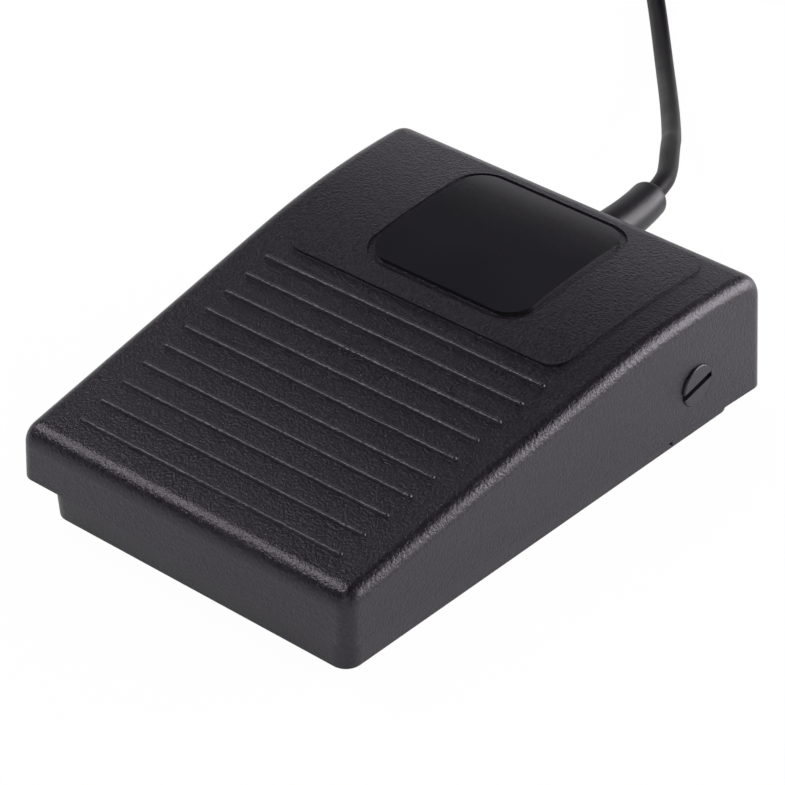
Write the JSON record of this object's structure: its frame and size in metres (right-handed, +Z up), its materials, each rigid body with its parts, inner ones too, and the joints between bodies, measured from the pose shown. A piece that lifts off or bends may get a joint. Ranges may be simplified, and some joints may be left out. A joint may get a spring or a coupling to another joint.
{
  "type": "foot switch",
  "caption": "Wedge-shaped foot switch: ribbed pedal cover on two side pins above a base tray, with a snap-action switch inside and a bare-ended cord.",
  "frame": {"origin": "On the floor, at the middle of the pedal cover's length and width.", "axes": "+Y points to the cable end, +Z up, +X to the right for someone who looks along +Y."},
  "size_m": [0.1208, 0.2637, 0.0293],
  "materials": {
    "pedal_plastic": "fine-grained moulded plastic, black",
    "tray_plastic": "fine-grained moulded plastic, black",
    "label_gloss": "smooth printed film, black, bare",
    "pin_plastic": "smooth turned plastic, black",
    "spring_steel": "drawn spring wire",
    "foot_rubber": "soft matt rubber",
    "switch_plastic": "moulded phenolic, near black",
    "switch_lid_plastic": "moulded plastic, dark grey",
    "plunger_plastic": "moulded button, red",
    "lever_steel": "stamped spring steel",
    "screw_steel": "zinc plated",
    "terminal_brass": "stamped brass",
    "core_black": "core insulation, black",
    "core_white": "core insulation, white",
    "core_red": "core insulation, red",
    "tinned_copper": "tinned strands",
    "cord_sheath": "satin flexible sheath, black",
    "tie_rubber": "soft strap, black",
    "relief_rubber": "satin moulded sleeve, black",
    "clamp_plastic": "moulded bar, black"
  },
  "bodies": {
    "base": {"base_tray": "tray_plastic", "pivot_pin_left": "pin_plastic", "pivot_pin_right": "pin_plastic", "return_spring_left": "spring_steel", "return_spring_right": "spring_steel", "foot_front_left": "foot_rubber", "foot_front_right": "foot_rubber", "foot_rear_left": "foot_rubber", "foot_rear_right": "foot_rubber", "switch_case": "switch_plastic", "switch_lid": "switch_lid_plastic", "switch_screws": "screw_steel", "terminal_common": "terminal_brass", "terminal_normally_open": "terminal_brass", "terminal_normally_closed": "terminal_brass", "core_black": "core_black", "core_white": "core_white", "core_red": "core_red", "inner_sheath": "cord_sheath", "clamp_bar": "clamp_plastic", "clamp_screws": "screw_steel", "strain_relief": "relief_rubber", "cord": "cord_sheath", "cord_coil": "cord_sheath", "coil_tie": "tie_rubber", "cord_end": "cord_sheath", "core_end_black": "core_black", "core_end_white": "core_white", "core_end_red": "core_red", "core_tips": "tinned_copper"},
    "pedal": {"pedal_cover": "pedal_plastic", "label_plate": "label_gloss"},
    "switch_lever": {"switch_lever": "lever_steel"},
    "switch_plunger": {"switch_plunger": "plunger_plastic"}
  },
  "joints": [
    {"name": "pedal_hinge", "type": "hinge", "parent": "base", "child": "pedal", "pos_m": [0, 0.0322, 0.0143], "axis": [1, 0, 0], "range_deg": [0, 3], "stiffness_Nm_per_rad": 7.6, "springref_deg": -2.29, "deforming": ["return_spring_left", "return_spring_right"]},
    {"name": "lever_hinge", "type": "hinge", "parent": "base", "child": "switch_lever", "pos_m": [0, 0.0125, 0.0187], "axis": [1, 0, 0], "range_deg": [0, 6.6]},
    {"name": "plunger_slide", "type": "slide", "parent": "base", "child": "switch_plunger", "axis": [0, 0, -1], "range_m": [0, 0.00095]}
  ],
  "couplings": [
    {"joint": "lever_hinge", "follows": "pedal_hinge", "ratio": 2.1939},
    {"joint": "plunger_slide", "follows": "pedal_hinge", "m_per_rad": 0.01799}
  ]
}
